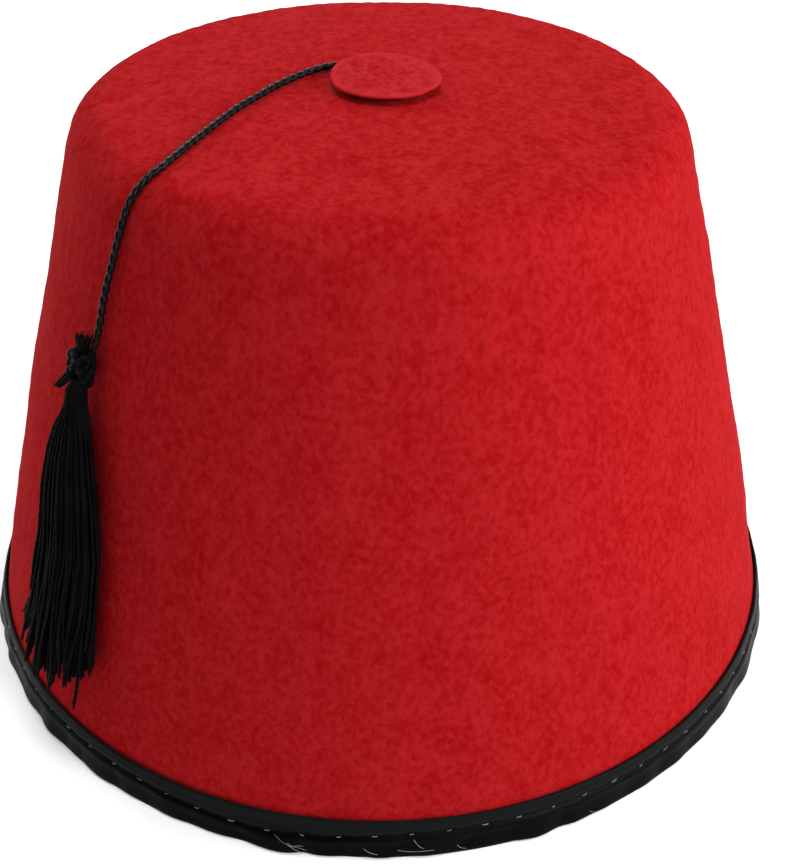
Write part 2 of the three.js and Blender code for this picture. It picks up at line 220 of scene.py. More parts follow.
def waviness(points, wavelength, seed, waves=48):
    """Smooth random height over space, with a spread of about 1 and no seam: the sum of sine waves in random
    directions, with random phases and with lengths round the given one."""
    draw = np.random.default_rng(seed)
    heading = unit(draw.normal(size=(waves, 3)))
    length = wavelength * draw.uniform(0.7, 1.5, waves)
    phase = draw.uniform(0, 2 * np.pi, waves)
    angle = points @ (heading * (2 * np.pi / length)[:, None]).T + phase
    return np.sin(angle).sum(-1) * math.sqrt(2 / waves)


def smooth_line(points, spacing):
    """A smooth curve through the points: each stretch is a cubic whose end slopes come from its neighbours,
    weighted by the square roots of their distances. Its points lie at even distances."""
    p = np.vstack([2 * points[0] - points[1], points, 2 * points[-1] - points[-2]])
    gap = np.sqrt(np.linalg.norm(np.diff(p, axis=0), axis=1))[:, None]
    before, here, after = gap[:-2], gap[1:-1], gap[2:]
    a, b, c, d = p[:-3], p[1:-2], p[2:-1], p[3:]
    leave = ((b - a) / before - (c - a) / (before + here) + (c - b) / here) * here
    arrive = ((c - b) / here - (d - b) / (here + after) + (d - c) / after) * here
    t = np.linspace(0, 1, 40, endpoint=False)[None, :, None]
    b, c, leave, arrive = (x[:, None] for x in (b, c, leave, arrive))
    cubic = b + leave * t + (3 * (c - b) - 2 * leave - arrive) * t**2 + (2 * (b - c) + leave + arrive) * t**3
    return evenly(np.vstack([cubic.reshape(-1, 3), points[-1]]), spacing)


def evenly(line, spacing):
    """The same line with its points at even distances of about the given spacing."""
    far = distances(line)
    at = np.linspace(0, far[-1], max(3, int(round(far[-1] / spacing)) + 1))
    return np.stack([np.interp(at, far, line[:, k]) for k in range(line.shape[1])], axis=-1)


def distances(line):
    """Distance along a line to each of its points."""
    steps = np.linalg.norm(np.diff(line, axis=-2), axis=-1)
    return np.concatenate([np.zeros_like(steps[..., :1]), np.cumsum(steps, axis=-1)], axis=-1)


def seeds(count):
    """Places spread evenly over a unit disc, as a sunflower sets its seeds."""
    number = np.arange(count)
    return circle(number * GOLDEN_ANGLE, np.sqrt((number + 0.5) / count)).T


def swept(line, section, toward):
    """A section carried along a line. At each point its first axis is square to the line and to `toward`,
    and its second axis lies as near to `toward` as it can."""
    along = unit(np.gradient(line, axis=-2))
    side = unit(np.cross(along, toward))
    face = np.cross(side, along)
    return line[..., None, :] + section[..., :1] * side[..., None, :] + section[..., 1:] * face[..., None, :]


def round_section(radius, columns, lobes=0, lobe_depth=0.0, start=0.0):
    """Points round a circle, or round a lobed one: radius times 1 + depth * cos(lobes * (angle − start)).
    Radius and start may vary along the line."""
    angle = all_round(columns)
    lobed = 1 + lobe_depth * np.cos(lobes * (angle - np.asarray(start)[..., None]))
    return circle(angle, np.asarray(radius)[..., None] * lobed)


def tubes(rings, along=None):
    """Closed tubes out of rings of points, counted by tube, row and column. Quads join the rings, and a fan
    closes each end round a middle point. The map's u runs once round and its v along, in centimetres."""
    rings = rings if rings.ndim == 4 else rings[None]
    count, rows, columns = rings.shape[:3]
    middles = rings[:, [0, -1]].mean(axis=2)
    points = np.concatenate([rings.reshape(count, -1, 3), middles], axis=1)
    index = np.arange(rows * columns).reshape(rows, columns)
    beside = np.roll(index, -1, axis=1)
    quads = np.stack([index[:-1], index[1:], beside[1:], beside[:-1]], axis=-1).reshape(-1, 4)
    first = np.full(columns, rows * columns)
    fans = np.vstack([
        np.stack([first, index[0], beside[0]], axis=-1),
        np.stack([first + 1, beside[-1], index[-1]], axis=-1),
    ])
    if along is None:
        along = distances(rings.mean(axis=2))
    u = np.arange(columns) / columns
    v = np.broadcast_to(along, (count, rows))[..., None] * 100
    left, right, low, high = np.broadcast_arrays(u, u + 1 / columns, v[:, :-1], v[:, 1:])
    uv = np.stack([left, low, left, high, right, high, right, low], axis=-1).reshape(-1, 2)
    shift = (np.arange(count) * (rows * columns + 2))[:, None, None]
    return points.reshape(-1, 3), (quads + shift).reshape(-1, 4), (fans + shift).reshape(-1, 3), uv


def hoop(rings):
    """A closed ring: rows follow a closed outline and columns go round, and both ends meet."""
    rows, columns = rings.shape[:2]
    index = np.arange(rows * columns).reshape(rows, columns)
    below, beside = np.roll(index, -1, axis=0), np.roll(index, -1, axis=1)
    quads = np.stack([index, below, np.roll(below, -1, axis=1), beside], axis=-1).reshape(-1, 4)
    return rings.reshape(-1, 3), quads, np.zeros((0, 3), int), None


def together(*shapes):
    """Several shapes as one: their points in turn, and each one's faces counted on from the last."""
    starts = np.cumsum([0] + [len(s[0]) for s in shapes])
    quads = np.vstack([s[1] + start for s, start in zip(shapes, starts)])
    fans = np.vstack([s[2] + start for s, start in zip(shapes, starts)])
    return np.vstack([s[0] for s in shapes]), quads, fans, np.vstack([s[3] for s in shapes])


def make_piece(name, shape, material, slot, *nodes):
    """Puts a shape into a mesh object that rides on the hat and stands for the CAD nodes."""
    points, quads, fans, uv = shape
    mesh = bpy.data.meshes.new(name)
    sizes = np.concatenate([np.full(len(quads), 4), np.full(len(fans), 3)])
    corners = np.concatenate([quads.ravel(), fans.ravel()])
    mesh.vertices.add(len(points))
    mesh.vertices.foreach_set("co", points.astype(np.float32).ravel())
    mesh.loops.add(len(corners))
    mesh.loops.foreach_set("vertex_index", corners.astype(np.int32))
    mesh.polygons.add(len(sizes))
    mesh.polygons.foreach_set("loop_start", (np.cumsum(sizes) - sizes).astype(np.int32))
    mesh.polygons.foreach_set("use_smooth", np.ones(len(sizes), bool))
    if uv is not None:
        uv = np.vstack([uv, np.zeros((fans.size, 2))]).astype(np.float32)
        mesh.uv_layers.new(name="Along").uv.foreach_set("vector", uv.ravel())
    mesh.update(calc_edges=True)
    if mesh.validate():
        raise RuntimeError(f"{name}: its mesh had faults")
    mesh.materials.append(material)
    piece = bpy.data.objects.new(name, mesh)
    bpy.context.scene.collection.objects.link(piece)
    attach(piece, BODY)
    if nodes:
        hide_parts(*nodes)
    return piece


class HatForm:
    """Where the crown's faces are, and the places beside its wall that the knot and the tassel hang at."""

    def __init__(self, scene):
        self.felt, self.cord = felt, cord = scene.fez_felt, scene.fez_cord
        corner = np.array([felt.top_radius, felt.corner_height])
        self.dome_slope = 2 * felt.top_dome / felt.top_radius
        wall_way = unit(np.array([felt.top_radius - felt.rim_radius, felt.corner_height]))
        top_way = unit(np.array([-1.0, self.dome_slope]))
        self.wall_normal = np.array([wall_way[1], -wall_way[0]])
        self.corner_turn = math.acos(float(wall_way @ top_way))
        reach = felt.corner_fillet * math.tan(self.corner_turn / 2)
        self.fillet_start = corner - reach * wall_way
        self.fillet_end = corner + reach * top_way
        self.fillet_centre = self.fillet_start - felt.corner_fillet * self.wall_normal
        self.lean = math.asin(self.wall_normal[1])
        self.top_height = self.fillet_end[1] + self.dome_slope * self.fillet_end[0] / 2
        x, y, height = CORD_ROUTE[-1]
        self.knot_height = height - cord.knot_drop - cord.knot_tall / 2
        self.bearing = math.atan2(y, x) - cord.knot_aside / self.wall_radius(self.knot_height)

    def wall_radius(self, height, out=0.0):
        """Radius of the wall's outer face: a straight line with a parabola's bow, moved out square to it."""
        felt, t = self.felt, height / self.fillet_start[1]
        straight = felt.rim_radius + (self.fillet_start[0] - felt.rim_radius) * t
        return straight + felt.wall_bulge * 4 * t * (1 - t) + out / math.cos(self.lean)

    def top_at(self, radius):
        """Height of the top's outer face: it falls with the square of the distance from the axis."""
        fall = self.top_height - self.fillet_end[1]
        return self.top_height - fall * (radius / self.fillet_end[0]) ** 2

    def outline(self, out, bottom, wall_rows, corner_rows, top_rows):
        """Radius and height along the crown's face, moved out: up the wall, round the corner's arc and in
        over the top, to one step short of the axis."""
        arc = self.felt.corner_fillet + out
        wall_top = self.fillet_centre[1] + arc * self.wall_normal[1]
        heights = np.linspace(bottom, wall_top, wall_rows, endpoint=False)
        wall = np.stack([self.wall_radius(heights, out), heights], axis=-1)
        angles = self.lean + np.linspace(0, self.corner_turn, corner_rows + 1)
        corner = self.fillet_centre + circle(angles, arc)
        radii = self.fillet_end[0] * (1 - np.arange(1, top_rows) / top_rows)
        top = np.stack([radii, self.top_at(radii) + out], axis=-1)
        return np.vstack([wall, corner, top])

    def beside_wall(self, across, out, height):
        """A point beside the wall: `across` along it from the tassel's bearing, and `out` from its face."""
        radius = self.wall_radius(height, out)
        return about_axis(radius, self.bearing + across / radius, height)

    def outward(self, points):
        """Direction square to the wall at points beside it."""
        flat = unit(points[..., :2])
        up = np.full(flat.shape[:-1] + (1,), math.sin(self.lean))
        return np.concatenate([flat * math.cos(self.lean), up], axis=-1)

    def knot_frame(self):
        """The knot's middle and its axes as rows: along the wall, into it, and up it."""
        middle = self.beside_wall(0.0, self.cord.knot_depth / 2 + TOUCHING, self.knot_height)
        across = np.array([-math.sin(self.bearing), math.cos(self.bearing), 0.0])
        into = -self.outward(middle)
        return middle, np.stack([across, into, np.cross(across, into)])


def turned(outline, angles):
    """An outline of radii and heights turned about the axis: rows follow it and columns go round."""
    return about_axis(outline[:, None, 0], angles, outline[:, None, 1])


# Materials

def sockets(tree, kind, values=(), **settings):
    """Adds a node. `settings` are its own options, and `values` its inputs: numbers are set on the socket
    and sockets are linked to it."""
    node = tree.nodes.new(kind)
    for key, value in settings.items():
        setattr(node, key, value)
    for key, value in dict(values).items():
        if isinstance(value, bpy.types.NodeSocket):
            tree.links.new(value, node.inputs[key])
        else:
            node.inputs[key].default_value = value
    return node


def new_finish(name, **values):
    """An empty material with a Principled shader whose plain numbers are given."""
    material = bpy.data.materials.new(name)
    material.use_nodes = True
    tree = material.node_tree
    tree.nodes.clear()
    shader = sockets(tree, "ShaderNodeBsdfPrincipled", {k.replace("_", " "): v for k, v in values.items()})
    sockets(tree, "ShaderNodeOutputMaterial", {0: shader.outputs[0]})
    return material, tree, shader


def grain(tree, where, scale, detail=2.0, roughness=0.5, distortion=0.0):
    """A noise's value at a place. One over the scale is the size of its cells, in metres."""
    return sockets(tree, "ShaderNodeTexNoise", {
        "Vector": where, "Scale": scale, "Detail": detail, "Roughness": roughness, "Distortion": distortion,
    }).outputs[0]


def spread(tree, value, low, high, to_low=0.0, to_high=1.0):
    """A value stretched from one range to another, and held at its ends."""
    values = {"Value": value, "From Min": low, "From Max": high, "To Min": to_low, "To Max": to_high}
    return sockets(tree, "ShaderNodeMapRange", values, clamp=True).outputs[0]


def maths(tree, operation, a, b):
    """Two values put together."""
    return sockets(tree, "ShaderNodeMath", {0: a, 1: b}, operation=operation).outputs[0]


def weighed(tree, *parts):
    """The sum of values, each times its weight."""
    scaled = [maths(tree, "MULTIPLY", value, weight) for value, weight in parts]
    total = scaled[0]
    for value in scaled[1:]:
        total = maths(tree, "ADD", total, value)
    return total


def on_piece(tree):
    """The place on the piece, in metres."""
    return tree.nodes.new("ShaderNodeTexCoord").outputs["Object"]


def coated(tree, shader, colour, relief=None, strength=0.0, depth=0.0):
    """Gives the shader its colour and, where there is one, a relief of a depth in metres."""
    tree.links.new(colour, shader.inputs["Base Color"])
    if relief is not None:
        bump = sockets(tree, "ShaderNodeBump", {"Height": relief, "Strength": strength, "Distance": depth})
        tree.links.new(bump.outputs[0], shader.inputs["Normal"])


def blended(tree, factor, a, b):
    """Colour a at factor 0 and colour b at factor 1."""
    whole = [c if isinstance(c, bpy.types.NodeSocket) else (*c, 1.0) for c in (a, b)]
    values = {0: factor, 6: whole[0], 7: whole[1]}
    return sockets(tree, "ShaderNodeMix", values, data_type="RGBA").outputs[2]


def felt_finish(name, deep, red, bright):
    """Wool felt: soft upright streaks, dark pits, pale flecks, a fine matted nap, and a cloudier top."""
    material, tree, shader = new_finish(
        name, Roughness=0.95, Specular_IOR_Level=0.015, Sheen_Weight=0.03, Sheen_Roughness=0.4,
        Sheen_Tint=(1.0, 0.2, 0.2, 1.0))
    place = on_piece(tree)
    drawn = sockets(tree, "ShaderNodeMapping", {"Vector": place, "Scale": (1.0, 1.0, 0.78)}).outputs[0]
    patches = grain(tree, drawn, 130.0, detail=3.0, roughness=0.55)
    streaks = grain(tree, drawn, 800.0, detail=1.0, roughness=0.40, distortion=0.4)
    nap = grain(tree, place, 3000.0, distortion=1.0)
    pits = grain(tree, drawn, 760.0, detail=1.0, distortion=0.4)
    flecks = grain(tree, drawn, 680.0, detail=1.0, distortion=0.8)
    long = sockets(tree, "ShaderNodeMapping", {"Vector": place, "Scale": (1.0, 0.62, 1.0)}).outputs[0]
    clouds = grain(tree, long, 470.0, detail=1.5, distortion=0.3)
    height = sockets(tree, "ShaderNodeSeparateXYZ", {0: place}).outputs[2]
    on_top = spread(tree, height, 119 * MM, 125 * MM, 0.0, 0.6)
    cloudy = maths(tree, "SUBTRACT", clouds, 0.5)
    tone = weighed(tree, (patches, 0.34), (streaks, 0.56), (nap, 0.08), (cloudy, on_top))
    colour = blended(tree, spread(tree, tone, 0.32, 0.52), deep, red)
    colour = blended(tree, spread(tree, tone, 0.48, 0.70), colour, bright)
    colour = blended(tree, spread(tree, pits, 0.40, 0.27, 0.0, 0.7), colour, deep)
    colour = blended(tree, spread(tree, flecks, 0.58, 0.72, 0.0, 0.6), colour, bright)
    relief = weighed(tree, (streaks, 0.92), (nap, 0.08))
    coated(tree, shader, colour, relief, 0.26, 0.4 * MM)
    return material


def vinyl_finish(name, black, upper_black, low, high):
    """Thin soft vinyl: fine leather grain, a dull sheen, slow changes in its gloss, and painted shade below
    the
    stitches: a greyer black that comes in from the low height to the high one, over a blacker one below."""
    material, tree, shader = new_finish(name, Specular_IOR_Level=0.03)
    place = on_piece(tree)
    cells = sockets(tree, "ShaderNodeTexVoronoi", {"Vector": place, "Scale": 1500.0}).outputs["Distance"]
    fine = grain(tree, place, 3200.0)
    slow = grain(tree, place, 130.0, detail=3.0, roughness=0.6)
    height = sockets(tree, "ShaderNodeSeparateXYZ", {0: place}).outputs[2]
    # Painted shade: black below the low height, easing to the upper black by the high one
    colour = blended(tree, spread(tree, height, low, high), black, upper_black)
    colour = blended(tree, spread(tree, slow, 0.35, 0.7, 0.0, 0.35), colour, upper_black)
    tree.links.new(spread(tree, slow, 0.3, 0.7, 0.34, 0.48), shader.inputs["Roughness"])
    coated(tree, shader, colour, weighed(tree, (cells, 0.7), (fine, 0.3)), 0.5, 0.12 * MM)
    return material


def yarn_finish(name, black, roughness, shine):
    """Black yarn: fine fibres that run along each ply, read from the piece's own map, and uneven dye."""
    material, tree, shader = new_finish(name, Roughness=roughness, Specular_IOR_Level=shine)
    where = sockets(tree, "ShaderNodeUVMap", uv_map="Along").outputs[0]
    drawn = sockets(tree, "ShaderNodeMapping", {"Vector": where, "Scale": (9.0, 4.0, 1.0)}).outputs[0]
    fibres = grain(tree, drawn, 1.0, detail=3.0, roughness=0.6, distortion=0.3)
    dye = grain(tree, on_piece(tree), 240.0)
    colour = blended(tree, spread(tree, dye, 0.35, 0.65), black, [1.7 * c for c in black])
    coated(tree, shader, colour, fibres, 0.6, 0.12 * MM)
    return material


def nylon_finish(name, colour):
    """Clear nylon thread: it lets part of the light through, and some stitches are duller than others."""
    material, tree, shader = new_finish(name, Roughness=0.22, Transmission_Weight=0.35, IOR=1.5)
    duller = spread(tree, grain(tree, on_piece(tree), 160.0), 0.38, 0.62)
    coated(tree, shader, blended(tree, duller, [0.35 * c for c in colour], colour))
    return material


def floor_finish(name, colour):
    """Smooth pale board, hardly uneven, lit a little from within so that its shadows stay pale."""
    material, tree, shader = new_finish(
        name, Roughness=0.85, Specular_IOR_Level=0.2, Emission_Color=(1.0, 1.0, 1.0, 1.0),
        Emission_Strength=0.13)
    cloud = spread(tree, grain(tree, on_piece(tree), 6.0), 0.3, 0.7)
    coated(tree, shader, blended(tree, cloud, colour, [0.99 * c for c in colour]))
    return material


# Pieces

class FEZ_OT_stage(bpy.types.Operator):
    """Adds the floor, the lights and the camera"""

    bl_idname = "fez.stage"
    bl_label = "Stage"

    floor_half = 3.0
    room_light = 0.235
    lights_face = Vector((0.0, 0.0, 0.06))
    # Name, place, side and power of each light
    lights = (
        ("right", (0.75, 0.0, 0.40), 0.36, 3.4),
        ("front_right", (0.55, -0.50, 0.40), 0.36, 4.6),
        ("left", (-0.82, 0.32, 0.28), 0.80, 2.3),
        ("back_left", (-0.50, 0.50, 0.50), 0.36, 2.0),
        ("overhead", (0.0, 0.0, 0.85), 0.36, 3.0),
        ("back", (0.0, 0.75, 0.45), 0.36, 1.9),
    )

    def execute(self, context):
        stage = context.scene.fez_stage
        half = self.floor_half
        corners = [(-half, -half, 0.0), (half, -half, 0.0), (half, half, 0.0), (-half, half, 0.0)]
        mesh = bpy.data.meshes.new("floor")
        mesh.from_pydata(corners, [], [(0, 1, 2, 3)])
        mesh.materials.append(floor_finish("pale_floor", stage.floor))
        floor = bpy.data.objects.new("floor", mesh)
        context.scene.collection.objects.link(floor)

        for light in self.lights:
            self.add_light(context, *light)
        world = bpy.data.worlds.new("soft_room")
        world.use_nodes = True
        background = world.node_tree.nodes["Background"]
        background.inputs["Color"].default_value = (1.0, 1.0, 1.0, 1.0)
        background.inputs["Strength"].default_value = self.room_light
        context.scene.world = world
        context.scene.view_settings.view_transform = "Standard"

        camera = bpy.data.objects.new("camera", bpy.data.cameras.new("camera"))
        camera.data.lens = stage.lens
        camera.data.sensor_width = 36.0
        camera.data.clip_start = 0.01
        pitch = Matrix.Rotation(math.pi / 2 - stage.tilt, 4, "X")
        lean = Matrix.Rotation(stage.roll, 4, "Z")
        camera.matrix_world = Matrix.Translation(stage.eye) @ pitch @ lean
        context.scene.collection.objects.link(camera)
        context.scene.camera = camera
        return {"FINISHED"}

    def add_light(self, context, name, place, side, power):
        """A square soft light that faces the hat's middle."""
        data = bpy.data.lights.new(name, "AREA")
        data.shape = "SQUARE"
        data.size = side
        data.energy = power
        lamp = bpy.data.objects.new(name, data)
        lamp.rotation_mode = "QUATERNION"
        lamp.rotation_quaternion = (Vector(place) - self.lights_face).to_track_quat("Z", "Y")
        lamp.location = place
        context.scene.collection.objects.link(lamp)


class FEZ_OT_felt_body(bpy.types.Operator):
    """Adds the felt crown: one pressed piece, hollow and open below"""

    bl_idname = "fez.felt_body"
    bl_label = "Felt crown"

    columns = 340
    outer_rows = (112, 14, 60)
    inner_rows = (40, 7, 16)
    mottle_size = 3.2 * MM
    wave_size = 34 * MM
    pressed_flat = 0.8  # share of the unevenness that the binding takes away

    def execute(self, context):
        felt = context.scene.fez_felt
        form = HatForm(context.scene)
        outer = form.outline(0.0, felt.edge_height, *self.outer_rows)[::-1]
        inner = form.outline(-felt.thickness, felt.edge_height, *self.inner_rows)
        outline = np.vstack([outer, inner])
        angles = all_round(self.columns)
        points = turned(outline, angles)
        way = unit(np.gradient(outline, axis=0))
        normal = turned(np.stack([-way[:, 1], way[:, 0]], axis=-1), angles)
        mottle = felt.mottle * waviness(points * (1.0, 1.0, 0.5), self.mottle_size, 11)
        waves = felt.hand_waves * waviness(points, self.wave_size, 12)
        in_binding = 1 - eased(points[..., 2], 9 * MM, 14 * MM)
        height = (mottle + waves) * (1 - self.pressed_flat * in_binding)
        points = points + normal * height[..., None]
        finish = felt_finish("red_wool_felt", felt.deep, felt.red, felt.bright)
        make_piece("felt_body", tubes(points), finish, "red_felt", "felt_crown")
        return {"FINISHED"}


class FEZ_OT_rim_band(bpy.types.Operator):
    """Adds the vinyl strip folded round the rim, with its stitch crease"""

    bl_idname = "fez.rim_band"
    bl_label = "Rim binding"

    columns = 711
    spacing = 0.3 * MM
    crease_deeper = 0.5  # how much deeper the crease is at a stitch
    swell_height = 0.10 * MM
    pucker_height = 0.09 * MM
    fold_height = 0.36 * MM
    fold_sunk = 0.32 * MM
    edge_waves = 0.04 * MM

    def execute(self, context):
        felt, binding = context.scene.fez_felt, context.scene.fez_binding
        form = HatForm(context.scene)
        gap, fold = binding.clearance, binding.thickness
        tall, short = binding.outer_height, binding.inner_height
        face = gap + fold
        leg_face, leg_back = -felt.thickness - gap, -felt.thickness - face
        # Round the strip's section: height, and distance out from the felt's outer face
        corners = (
            (tall, face), (fold, face), (fold / 3, face - fold / 3), (0.0, face - fold),
            (0.0, leg_back + fold), (fold / 3, leg_back + fold / 3), (fold, leg_back), (short, leg_back),
            (short, leg_face), (fold, leg_face), (fold, gap), (tall, gap), (tall, face),
        )
        height, out = np.array(corners).T
        loop = evenly(np.stack([form.wall_radius(height, out), height], axis=-1), self.spacing)[:-1]
        loop = (np.roll(loop, 1, axis=0) + 2 * loop + np.roll(loop, -1, axis=0)) / 4
        angles = all_round(self.columns)
        points = turned(loop, angles)
        outer_face = eased(loop[:, 0] - form.wall_radius(loop[:, 1]), 0.45 * MM, 0.8 * MM)[:, None]
        push = outer_face * self.relief(binding, points, angles)
        points[..., :2] += push[..., None] * unit(points[..., :2])
        # Painted shade below the stitch line, fading out between 4.6 and 6.4 mm up
        finish = vinyl_finish("black_soft_vinyl", binding.black, binding.upper_black, 4.6 * MM, 6.4 * MM)
        make_piece("rim_band", hoop(points), finish, "black_vinyl", "rim_binding")
        return {"FINISHED"}

    def relief(self, binding, points, angles):
        """How far the outer face stands out: a bell-curved groove along the stitch line, deeper at each
        stitch, with a swell on both sides; slow random puckers; and, near the floor, puffed folds, which are
        the size of a random height, with notches where it is nought."""
        height = points[..., 2]
        near_stitch = 0.5 + 0.5 * np.cos(binding.stitches * (angles - binding.first_stitch))
        away = (height - stitch_line(binding, angles)) / binding.crease_width
        groove = -binding.crease_depth * np.exp(-away**2) * (0.8 + self.crease_deeper * near_stitch)
        beside = np.exp(-((np.abs(away) - 2.6) / 1.8) ** 2)
        swell = self.swell_height * (1 + 0.6 * (1 - near_stitch)) * beside
        low = 1 - eased(height, 1 * MM, 7 * MM)
        pucker = self.pucker_height * waviness(points * (1.0, 1.0, 0.4), 9 * MM, 21) * (0.35 + 0.65 * low)
        upright = points * (1.0, 1.0, 0.2)
        folds = (self.fold_height * np.abs(waviness(upright, 14 * MM, 23)) - self.fold_sunk) * low
        return groove + swell + pucker + folds + self.edge_waves * waviness(upright, 16 * MM, 22)


def stitch_line(binding, angles, dip=1.6 * MM, bearing=-104, width=13):
    """Height of the stitch line: level, but for one dip at the front left, a bell curve whose bearing and
    width are in degrees."""
    away = (angles - math.radians(bearing) + np.pi) % (2 * np.pi) - np.pi
    return binding.crease_height - dip * np.exp(-((away / math.radians(width)) ** 2))


class FEZ_OT_rim_stitches(bpy.types.Operator):
    """Adds the clear thread that shows at each stitch, and the loose ends of thread"""

    bl_idname = "fez.rim_stitches"
    bl_label = "Stitches"

    rows = 13
    sunk = 0.30 * MM  # how far a stitch's ends lie under the strip's face
    arch = 0.16 * MM  # how far its middle rises above its ends
    end_radius = 0.07 * MM

    # Bearing in degrees and height in millimetres of each loose end's points
    loose_ends = (
        ((-102.5, 4.2), (-101.4, 2.9), (-100.4, 2.3), (-98.4, 1.4)),
        ((-101.2, 2.4), (-100.4, 2.2), (-99.6, 2.5), (-98.9, 2.3)),
        ((-101.0, 3.0), (-100.2, 1.8), (-99.5, 1.3), (-99.0, 0.5)),
        ((-91.5, 3.0), (-90.9, 2.4), (-90.4, 2.0), (-89.8, 1.4)),
        ((-87.4, 2.6), (-86.1, 2.4), (-84.6, 2.2), (-82.9, 1.9)),
        ((-85.4, 5.0), (-85.0, 4.0), (-84.6, 3.2), (-84.1, 2.4)),
        ((-80.1, 2.8), (-79.8, 2.3), (-79.4, 1.9), (-78.9, 1.3)),
        ((-62.5, 2.3), (-62.2, 1.9), (-61.8, 1.5), (-61.4, 1.1)),
    )

    def execute(self, context):
        binding = context.scene.fez_binding
        form = HatForm(context.scene)
        face = binding.clearance + binding.thickness
        draw = np.random.default_rng(31)
        count = binding.stitches
        middle = binding.first_stitch + all_round(count) + draw.normal(0, 0.002, count)
        t = np.linspace(-1, 1, self.rows)
        reach = binding.stitch_length / 2 * draw.uniform(0.4, 1.15, (count, 1))
        angle = middle[:, None] + t * reach / form.felt.rim_radius
        slope = draw.normal(0.0, 0.16, (count, 1))
        height = stitch_line(binding, middle)[:, None] + t * reach * slope
        out = face - self.sunk + self.arch * (1 - t**4)
        line = about_axis(form.wall_radius(height, out), angle, height)
        section = round_section(np.full((count, self.rows), binding.thread / 2), 8)
        arches = tubes(swept(line, section, form.outward(line)))
        ends = [self.loose_end(form, route, face) for route in self.loose_ends]
        finish = nylon_finish("clear_nylon", binding.nylon)
        make_piece("rim_stitches", together(arches, *ends), finish, "stitch_thread")
        return {"FINISHED"}

    def loose_end(self, form, route, face):
        """A bit of thread through bearings and heights, standing a little off the strip in its middle."""
        bearing, height = np.array(route).T
        rise = np.sin(np.linspace(0.15, 1.0, len(route)) * np.pi)
        apart = form.wall_radius(height * MM, face + (0.24 + 0.42 * rise) * MM)
        line = smooth_line(about_axis(apart, np.radians(bearing), height * MM), 0.3 * MM)
        radius = self.end_radius * (1 - 0.4 * np.linspace(0, 1, len(line)) ** 4)
        return tubes(swept(line, round_section(radius, 6), form.outward(line)))


class FEZ_OT_felt_disc(bpy.types.Operator):
    """Adds the small felt disc that covers the cord's end"""

    bl_idname = "fez.felt_disc"
    bl_label = "Top disc"

    columns = 190
    face_rows = 46
    edge_rows = 9
    wavy_edge = 0.007  # share of the radius
    nap = 0.04 * MM
    paler = (1.05, 1.5, 1.6)  # its red, green and blue against the crown's

    def execute(self, context):
        disc, felt = context.scene.fez_disc, context.scene.fez_felt
        form = HatForm(context.scene)
        flat = disc.radius - disc.rounding
        radii = flat * np.arange(1, self.face_rows + 1) / self.face_rows
        over = np.stack([radii, np.full_like(radii, disc.thickness)], axis=-1)
        angle = np.linspace(np.pi / 2, -0.9, self.edge_rows)[1:]
        edge = circle(angle, disc.rounding) + (flat, disc.thickness - disc.rounding)
        under = over[::-1] * (1 - disc.undercut / flat, 0)
        slope = evenly(np.stack([edge[-1], under[0]]), 0.4 * MM)[1:-1]
        points = turned(np.vstack([over, edge, slope, under]), all_round(self.columns))
        middle = np.array([disc.centre_x, disc.centre_y, 0.0])
        near_edge = eased(np.linalg.norm(points[..., :2], axis=-1), 0.8 * flat, disc.radius)
        points[..., :2] *= (1 + near_edge * self.wavy_edge * waviness(points, 5 * MM, 41))[..., None]
        points += middle
        upper_side = eased(points[..., 2], 0.4 * disc.thickness, disc.thickness)
        points[..., 2] += self.nap * waviness(points * (1, 1, 0), 2.6 * MM, 42) * upper_side
        points[..., 2] += form.top_at(np.linalg.norm(points[..., :2], axis=-1)) + disc.gap
        over_cord = self.over_cord(disc, points[..., :2])
        points[..., 2] += over_cord * (disc.lift + (disc.swell - disc.lift) * upper_side)
        tones = [np.multiply(tone, self.paler) for tone in (felt.deep, felt.red, felt.bright)]
        finish = felt_finish("red_disc_felt", *tones)
        face = middle + (0, 0, form.top_height + disc.gap + disc.thickness)
        # Painted highlight along the disc's cut edge
        self.painted_edge_highlight(finish, face, disc.radius, 1.15 * tones[2])
        make_piece("felt_disc", tubes(points), finish, "red_felt", "top_disc")
        return {"FINISHED"}

    @staticmethod
    def painted_edge_highlight(finish, middle, radius, pale):
        """Painted highlight: lightens the felt in a ring just inside the cut edge, in the colour `pale`."""
        tree = finish.node_tree
        shader = next(node for node in tree.nodes if node.type == "BSDF_PRINCIPLED")
        colour = shader.inputs["Base Color"].links[0].from_socket
        ends = {0: on_piece(tree), 1: middle}
        away = sockets(tree, "ShaderNodeVectorMath", ends, operation="DISTANCE").outputs["Value"]
        # Where the painted highlight lies, up to half strength
        ring = spread(tree, away, radius - 1.7 * MM, radius - 0.5 * MM, 0.0, 0.5)
        tree.links.new(blended(tree, ring, colour, pale), shader.inputs["Base Color"])

    @staticmethod
    def over_cord(disc, places):
        """1 above the cord, eased to 0 away from it, by the least distance to its straight stretches under
        the disc."""
        hidden = CORD_ROUTE[:CORD_LEAVES_DISC + 1, :2]
        start, way = hidden[:-1], np.diff(hidden, axis=0)
        offset = places[..., None, :] - start
        t = np.clip((offset * way).sum(-1) / (way**2).sum(-1), 0, 1)
        reach = np.linalg.norm(offset - t[..., None] * way, axis=-1).min(axis=-1)
        return 1 - eased(reach, 1.5 * MM, disc.stiff_width)


def twisted_cord(line, diameter, lay, toward, columns=14):
    """Two plies that wind round a line, half a turn apart. Each is a round strand with three yarns, which
    turn the other way."""
    radius, offset = 0.355 * diameter, 0.16 * diameter
    wind = 2 * np.pi * distances(line) / lay
    yarn = round_section(np.full(len(line), radius), columns, 3, 0.07, -2.2 * wind)
    shapes = []
    for start in (0.0, np.pi):
        ply = yarn + circle(wind + start, offset)[:, None]
        shapes.append(tubes(swept(line, ply, toward), distances(line)))
    return together(*shapes)


